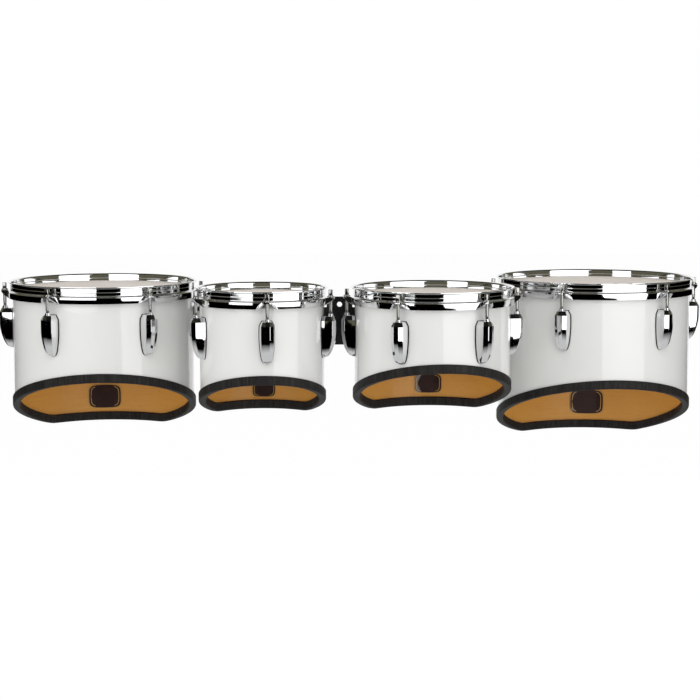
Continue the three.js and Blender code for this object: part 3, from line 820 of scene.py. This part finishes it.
# %% [markdown]
# ### Gaskets
# A thin black gasket fills the space between each lug's flat base and the round shell. It is cut
# from sheet, so it is one outline with thickness. Its edge shows almost a millimetre beyond the
# casting as a fine dark line, which is partly the gasket and partly painted shade for the gap under the lug.

# %% Make the gaskets
# How far the black edge shows beyond the casting: a real gasket, widened as painted shade for the gap under
# the lug
GASKET_AND_SHADE_EDGE, GASKET_FRONT, GASKET_BACK = 0.9, -0.25, 1.15


def gasket_shape():
    sides = [(lug_corners(down)[0][0] + GASKET_AND_SHADE_EDGE, down) for down in LUG_DEPTHS]
    sides = [(sides[0][0] - 0.6, -0.5)] + sides + [(sides[-1][0] - 0.6, LUG_HEIGHT + 0.5)]
    outline = sides + [(-x, down) for x, down in reversed(sides)]
    shape = bmesh.new()
    front, back = [[shape.verts.new((x * mm, y * mm, -down * mm)) for x, down in outline]
                   for y in (GASKET_FRONT, GASKET_BACK)]
    skin(shape, [front, back])
    return close_ends(shape, front, back[::-1])


set_round_drums("lug_gaskets", gasket_shape(), LUG_PLACE, SEAT, rubber)

# %% [markdown]
# ### Lug screws
# Two screws hold each lug through the wall, with a washer under each hexagon head inside the shell.
# A head is turned with only six sides, and a narrower top gives it the chamfer of a real one.

# %% Make the lug screws
WASHER = 0.9
SCREW_DEPTHS = (60, 98)


def hexagon_screw(width, height, washer):
    under, top, corner = WASHER + 0.1, height + 1, width / sqrt(3)
    shape = turned([(0, 0), (washer, 0), (washer, WASHER), (width * 0.56, under), (0, under)], 24)
    head = turned([(0, under), (corner, under), (corner, height + 0.4), (corner * 0.86, top), (0, top)], 6)
    shape.from_mesh(as_mesh(head, "head"))
    return shape


pair = bmesh.new()
for down in SCREW_DEPTHS:
    lie = Matrix.Translation((0, 0, -down * mm)) @ Matrix.Rotation(radians(-90), 4, "X")
    pair.from_mesh(as_mesh(hexagon_screw(7, 3, 6), "screw", lie))
set_round_drums("lug_screws", pair, 0, -WALL - FIT, zinc)

# %% [markdown]
# ### Tension rods
# A tension rod is a long steel screw: a square key head, a collar and washer that bear on the ear,
# a plain shank, and a fine thread that runs down into the lug. Every rod turns about its own axis, so
# each is a piece on its own body. The thread's ridge climbs one pitch in each turn, so its radius
# depends on both the angle and the height.

# %% The thread and the key head
def thread_shape(top, bottom, crest, root, pitch, sides=20):
    shape = bmesh.new()
    rows = int((top - bottom) / pitch * 4)
    grid = []
    for row in range(rows + 1):
        height = top + (bottom - top) * row / rows
        ring = []
        for side in range(sides):
            phase = (height / pitch - side / sides) % 1
            radius = root + (crest - root) * (1 - abs(2 * phase - 1)) if 0 < row < rows else root
            a = 2 * pi * side / sides
            ring.append(shape.verts.new((radius * cos(a) * mm, radius * sin(a) * mm, height * mm)))
        grid.append(ring)
    skin(shape, grid[::-1])
    return close_ends(shape, grid[0], grid[-1][::-1])


def key_head(width, bottom, top):
    head = bmesh.new()
    bmesh.ops.create_cube(head, size=1, matrix=Matrix.Translation((0, 0, (bottom + top) / 2 * mm))
                          @ Matrix.Diagonal((width * mm, width * mm, (top - bottom) * mm, 1)))
    bmesh.ops.bevel(head, geom=head.edges[:], offset=0.7 * mm, segments=3, profile=0.5, affect="EDGES")
    return head


print("rods have 24 threads an inch, a pitch of", round(25.4 / 24, 3), "mm")

# %% [markdown]
# Shank, washer and collar are turned as one outline. The finished rod is copied to every ear, and
# each copy is turned with its drum, so the key heads face outwards.

# %% Set a rod at every ear
SHANK, WASHER_EDGE, COLLAR = 2.8, 5.8, 4.1

rod_line = rounded(
    [(0, -38), (SHANK, -38), (SHANK, -15.2), (WASHER_EDGE, -15.2), (WASHER_EDGE, -13.6),
     (COLLAR, -13.6), (COLLAR, -12.2), (0, -12.2)],
    [0, 0.4, 0, 0.5, 0.5, 0.1, 0.5, 0], steps=3)
rod_shape = turned(rod_line, 32)
rod_shape.from_mesh(as_mesh(key_head(width=6.4, bottom=-12.6, top=-3), "key"))
thread = thread_shape(top=-37.9, bottom=-65.5, crest=SHANK, root=2.3, pitch=1.058)
rod_shape.from_mesh(as_mesh(thread, "thread"))
one_rod = as_mesh(rod_shape, "tension_rod")
for size, drum in DRUMS.items():
    for number, azimuth in enumerate(drum["azimuths"], 1):
        a = radians(azimuth)
        foot = drum["place"] + outward(a) * (drum["radius"] + ROD_OUT) * mm
        mesh = one_rod.copy()
        mesh.transform(Matrix.Translation(foot) @ Matrix.Rotation(a, 4, "Z"))
        rod = new_piece(f"steel_rod_{size}_{number}", mesh, nickel)
        settle(rod, f"rod_{size}_{number}", [f"tension_rod_{size}_{number}"])

# %% [markdown]
# ### Plates inside the shells
# A plain plate with well rounded corners is glued inside the back wall of each shell. Its face is
# flat enamel with a fine gold line, its rim a gold bead, and it bends with the wall. It is skinned
# over rings from the middle outwards, each pushed out from a circle to a rounded square.

# %% Make the plates
PLATES = {  # azimuth, height from the rim, half width, half height
    "12_inch": (188, -218.4, 30, 21.5), "8_inch": (181.3, -178.5, 20, 14.5),
    "10_inch": (180.5, -174.1, 24, 17), "13_inch": (175.8, -243.2, 32, 23)}
# Each ring's share of the half sizes, and its height off the wall
PLATE_RINGS = [(0, 0.9), (0.4, 0.9), (0.8, 0.9), (0.835, 0.9),
               (0.94, 0.9), (0.955, 1.2), (0.98, 1.2), (1, 0)]
GOLD_BANDS = (2, 4, 5, 6)  # a band lies between one ring and the next


def squared(value):
    """A circle's sine or cosine, pushed outwards so that the circle becomes a rounded square."""
    return copysign(abs(value) ** 0.45, value)


def rounded_plate(drum, azimuth, height, half_wide, half_tall, steps=96):
    wall = drum["radius"] - WALL - 0.02
    shape = bmesh.new()
    grid = []
    for share, lift in PLATE_RINGS:
        ring = []
        for i in range(steps if share else 1):
            a = 2 * pi * i / steps
            turn = radians(azimuth) + half_wide * share * squared(cos(a)) / wall
            up = (height + half_tall * share * squared(sin(a))) * mm
            ring.append(shape.verts.new(outward(turn) * (wall - lift) * mm + Vector((0, 0, up))))
        grid.append(ring if share else ring * steps)
    skin(shape, grid)
    for number, face in enumerate(shape.faces):
        face.material_index = int(number // steps in GOLD_BANDS)
    return close_ends(shape, grid[-1][::-1])


for size, plate in PLATES.items():
    drum = DRUMS[size]
    mesh = as_mesh(rounded_plate(drum, *plate), f"enamel_plate_{size}", Matrix.Translation(drum["place"]))
    settle(new_piece(f"enamel_plate_{size}", mesh, enamel, gold), "frame_and_shells")

# %% [markdown]
# ## Frame and bracket
# The measured solids of the frame and the centre bracket already have the right shape, but their
# edges are knife-sharp. A copy of each is welded, its flat faces are joined up, and a bevel breaks
# the edges as powder coat does.

# %% Soften the frame and the bracket
def softened(node, name, width):
    shape = bmesh.new()
    shape.from_mesh(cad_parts[node].data)
    bmesh.ops.remove_doubles(shape, verts=shape.verts, dist=2e-5)
    bmesh.ops.dissolve_limit(shape, angle_limit=radians(1), verts=shape.verts, edges=shape.edges)
    piece = new_piece(name + "_holder", as_mesh(shape, name))
    bevel_edges(piece, width, 3, 35)
    return new_piece(name, plain_mesh(piece, name), powder_coat)


for node, name, width in (("carrier_frame", "bent_carrier_frame", 1.2),
                          ("centre_bracket", "bolted_centre_bracket", 0.8)):
    settle(softened(node, name, width), "frame_and_shells", [node])

# %% [markdown]
# Screws clamp the carrier's bars in their sockets and hold the frame to the shells, through a saddle
# on each outer drum and a foot on each inner one. Each lies along the direction it is driven from.

# %% Frame screws
BACKWARDS = (0, 1, 0)
SOCKET_ASIDE, SOCKET_BACK, CLAMP_APART = 104, 28, 13
SADDLES, SADDLE_OUT, SADDLE_HALF = {"12_inch": 117, "13_inch": -106}, 6, 14
FEET, FOOT_HALF = (-129.8, 132.5), 11


def screw_at(shape, place, direction, width=8):
    turn = Vector(direction).to_track_quat("Z", "Y").to_matrix().to_4x4()
    screw = hexagon_screw(width, 3.5, width * 0.85)
    shape.from_mesh(as_mesh(screw, "screw", Matrix.Translation(place) @ turn))


screws = bmesh.new()
for x in (-SOCKET_ASIDE, SOCKET_ASIDE):
    for z in (-CLAMP_APART, CLAMP_APART):
        screw_at(screws, Vector((x, SOCKET_BACK, z)) * mm, BACKWARDS, 10)
for size, azimuth in SADDLES.items():
    drum, a = DRUMS[size], radians(azimuth)
    out, along = outward(a), Vector((cos(a), sin(a), 0))
    for side in (-SADDLE_HALF, SADDLE_HALF):
        spot = Vector((*drum["place"].xy, 0)) + (out * (drum["radius"] + SADDLE_OUT) + along * side) * mm
        screw_at(screws, spot, out)
for x in FEET:
    for z in (-FOOT_HALF, FOOT_HALF):
        screw_at(screws, Vector((x, 0, z)) * mm, BACKWARDS)
frame_screws = new_piece("frame_screws", as_mesh(screws, "frame_screws"), black_steel)
settle(frame_screws, "frame_and_shells")

# %% [markdown]
# ## Studio
# The drums hang on their player, so the floor lies well below them. The camera sees it almost white,
# with the drums' faint shadow, as far as the white world behind. In reflections it is light grey
# under the drums, black round them where no light falls, and white straight behind them.

# %% Floor
FLOOR, FAR = -0.85, 15


def stage_plane(name, corners, material):
    mesh = bpy.data.meshes.new(name)
    mesh.from_pydata(corners, [], [tuple(range(len(corners)))])
    plane = new_piece(name, mesh, material)
    return plane


floor_paint, tree, shader = new_material("pale_floor")
set_up(shader, {"Base Color": linear("#F4F4F2"), "Roughness": 0.9})
spot = add_node(tree, "ShaderNodeTexCoord").outputs["Object"]
squeezed = add_node(tree, "ShaderNodeVectorMath", {"operation": "MULTIPLY", 0: spot, 1: (0.7, 1, 0)})
away = add_node(tree, "ShaderNodeVectorMath", {"operation": "LENGTH", 0: squeezed}).outputs["Value"]
near = add_node(tree, RANGE, {"Value": away, "From Min": 1.2, "From Max": 2, "To Min": 0.65, "To Max": 0})
split = add_node(tree, "ShaderNodeSeparateXYZ", {0: spot}).outputs
aside = add_node(tree, MATHS, {"operation": "ABSOLUTE", 0: split["X"]})
straight_back = add_node(tree, MATHS, {"operation": "MULTIPLY_ADD", 0: aside, 1: -1.25, 2: split["Y"]})
rear = add_node(tree, RANGE, {"Value": straight_back, "From Min": 0.8, "From Max": 1.4})
mirrored = add_node(tree, MATHS, {"operation": "MAXIMUM", 0: near, 1: rear})
rays = add_node(tree, "ShaderNodeLightPath").outputs
strength = add_node(tree, MIX, {0: rays["Is Glossy Ray"], 2: 1.07, 3: mirrored})
glow = add_node(tree, "ShaderNodeEmission", {"Strength": strength})
seen = add_node(tree, MATHS, {
    "operation": "MAXIMUM", 0: rays["Is Camera Ray"], 1: rays["Is Transmission Ray"]})
most = add_node(tree, MATHS, {"operation": "MULTIPLY", 0: seen, 1: 0.88})
share = add_node(tree, MATHS, {"operation": "MAXIMUM", 0: most, 1: rays["Is Glossy Ray"]})
blend = add_node(tree, "ShaderNodeMixShader", {0: share, 1: shader, 2: glow})
set_up(tree.nodes["Material Output"], {"Surface": blend})
stage_plane("floor", [(-FAR, -FAR, FLOOR), (FAR, -FAR, FLOOR), (FAR, FAR, FLOOR), (-FAR, FAR, FLOOR)],
            floor_paint)
print("floor at", FLOOR, "m")

# %% [markdown]
# Chrome has no colour of its own, so it looks right only with dark and light things to mirror. The
# world is white to the camera and to soft light. Reflections alone see a dim studio instead, which
# is olive grey in front and at the sides, black overhead, and white straight behind the drums.

# %% World
world = bpy.data.worlds.new("white_studio")
bpy.context.scene.world = world
world.use_nodes = True
tree = world.node_tree
towards = add_node(tree, "ShaderNodeSeparateXYZ", {
    0: add_node(tree, "ShaderNodeTexCoord").outputs["Generated"]}).outputs
behind = add_node(tree, RANGE, {"Value": towards["Y"], "From Min": 0.7, "From Max": 0.85})
walls = add_node(tree, MIX, {"data_type": "RGBA", 0: behind, 6: linear("#5F5D4E"), 7: WHITE})
overhead = add_node(tree, RANGE, {"Value": towards["Z"], "From Min": 0.45, "From Max": 0.7})
studio = add_node(tree, MIX, {"data_type": "RGBA", 0: overhead, 6: walls.outputs[2], 7: linear("#1A1A19")})
rays = add_node(tree, "ShaderNodeLightPath").outputs
colour = add_node(tree, MIX, {"data_type": "RGBA", 0: rays["Is Glossy Ray"], 6: WHITE, 7: studio.outputs[2]})
seen = add_node(tree, MATHS, {"operation": "MAXIMUM", 0: rays["Is Camera Ray"], 1: rays["Is Glossy Ray"]})
direct = add_node(tree, MATHS, {"operation": "MAXIMUM", 0: seen, 1: rays["Is Transmission Ray"]})
strength = add_node(tree, RANGE, {"Value": direct, "To Min": 0.42})
set_up(tree.nodes["Background"], {"Color": colour.outputs[2], "Strength": strength})
bpy.context.scene.view_settings.view_transform = "Standard"
print("world is white, with a dim studio for reflections")

# %% [markdown]
# Two large softboxes light the drums from the left and right, a third hangs over the heads, and a
# weaker one lights the player's side. They show in no mirror. What the chrome and the lacquer mirror
# is two white panels on both sides of the camera's view, which give little light themselves.

# %% Softboxes and white panels
SOFTBOXES = {  # azimuth, distance and height in metres, tilt up from straight down, watts
    "left": (-56, 3.0, 0.75, 90, 23.5), "right": (54, 3.0, 0.75, 90, 21.5),
    "above": (0, 2.4, 3, 50, 42), "rear": (180, 3.0, 0.75, 90, 20)}
WIDE, LONG = 2.7, 3.0
for side, (azimuth, distance, height, tilt, watts) in SOFTBOXES.items():
    lamp = new_object(f"softbox_{side}", bpy.data.lights.new(f"softbox_{side}", "AREA"))
    lamp.data.shape, lamp.data.size, lamp.data.size_y = "RECTANGLE", WIDE, LONG
    lamp.data.energy = watts
    a = radians(azimuth)
    lamp.location = (sin(a) * distance, -cos(a) * distance, height)
    lamp.rotation_euler = (radians(tilt), 0, a)
    lamp.visible_glossy = lamp.visible_camera = False

panel_white, tree, shader = new_material("white_panel")
glossy = add_node(tree, "ShaderNodeLightPath").outputs["Is Glossy Ray"]
bright = add_node(tree, RANGE, {"Value": glossy, "To Min": 1.15, "To Max": 2.0})
set_up(shader, {"Base Color": linear("#000000"), "Roughness": 1, "Emission Color": WHITE,
                "Emission Strength": bright})
PANELS = {  # corners as (x, y, z) in metres
    "panel_left": [(-1.25, -1.02, -0.07), (-0.40, -1.3, -0.07), (-0.40, -1.3, 0.8), (-1.25, -1.02, 0.8)],
    "panel_right": [(0.56, -1.7, -0.37), (1.43, -0.73, -0.37), (1.43, -0.73, 0.8), (0.28, -1.7, 0.8)]}
for name, corners in PANELS.items():
    panel = stage_plane(name, corners, panel_white)
    panel.visible_camera = panel.visible_shadow = panel.visible_transmission = False
print("four softboxes and two white panels")
